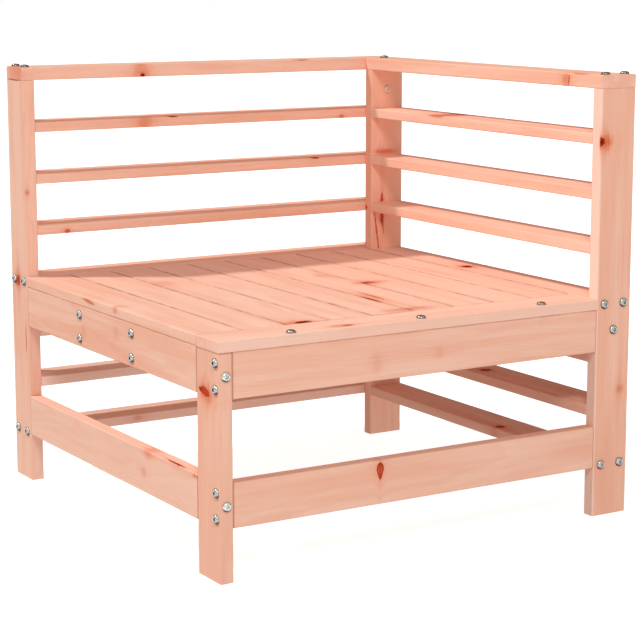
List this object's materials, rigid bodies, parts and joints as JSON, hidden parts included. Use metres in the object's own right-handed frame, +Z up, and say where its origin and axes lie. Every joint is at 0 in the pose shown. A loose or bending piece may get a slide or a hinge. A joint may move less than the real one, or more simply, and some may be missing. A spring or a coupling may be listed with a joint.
{
  "type": "garden corner sofa",
  "caption": "Slatted wooden corner seat with a railed back panel along two sides, a plank seat on aprons and battens, and bolted joints.",
  "frame": {"origin": "on the floor under the middle of the square footprint, level with the undersides of the leg and posts", "axes": "+X along the front edge towards the side back panel, +Y from the front to the rear back panel, +Z up"},
  "size_m": [0.6676, 0.6676, 0.6288],
  "materials": {
    "planed_softwood": "planed bare softwood with knots",
    "bolt_steel": "zinc plated"
  },
  "bodies": {
    "root": {"batten_bolts": "bolt_steel", "corner_block_1": "planed_softwood", "corner_block_2": "planed_softwood", "corner_bolts": "bolt_steel", "corner_post": "planed_softwood", "front_apron": "planed_softwood", "front_leg": "planed_softwood", "front_stretcher": "planed_softwood", "left_apron": "planed_softwood", "left_post": "planed_softwood", "left_post_bolts": "bolt_steel", "left_post_long_bolts": "bolt_steel", "left_stretcher": "planed_softwood", "leg_bolts": "bolt_steel", "leg_long_bolts": "bolt_steel", "rear_back_rail_1": "planed_softwood", "rear_back_rail_2": "planed_softwood", "rear_back_rail_3": "planed_softwood", "rear_lower_rail_1": "planed_softwood", "rear_lower_rail_2": "planed_softwood", "rear_lower_rail_3": "planed_softwood", "rear_post": "planed_softwood", "rear_seat_rail": "planed_softwood", "rear_top_rail": "planed_softwood", "right_post": "planed_softwood", "right_post_bolts": "bolt_steel", "right_post_long_bolts": "bolt_steel", "seat_batten_1": "planed_softwood", "seat_batten_2": "planed_softwood", "seat_board_bolts": "bolt_steel", "seat_front_board": "planed_softwood", "seat_plank_1": "planed_softwood", "seat_plank_2": "planed_softwood", "seat_plank_3": "planed_softwood", "seat_plank_4": "planed_softwood", "seat_plank_5": "planed_softwood", "seat_plank_6": "planed_softwood", "seat_plank_7": "planed_softwood", "seat_plank_8": "planed_softwood", "seat_plank_9": "planed_softwood", "side_back_rail_1": "planed_softwood", "side_back_rail_2": "planed_softwood", "side_back_rail_3": "planed_softwood", "side_bearer": "planed_softwood", "side_lower_rail_1": "planed_softwood", "side_lower_rail_2": "planed_softwood", "side_lower_rail_3": "planed_softwood", "side_seat_rail": "planed_softwood", "side_top_rail": "planed_softwood", "top_rail_bolts": "bolt_steel"}
  },
  "joints": []
}
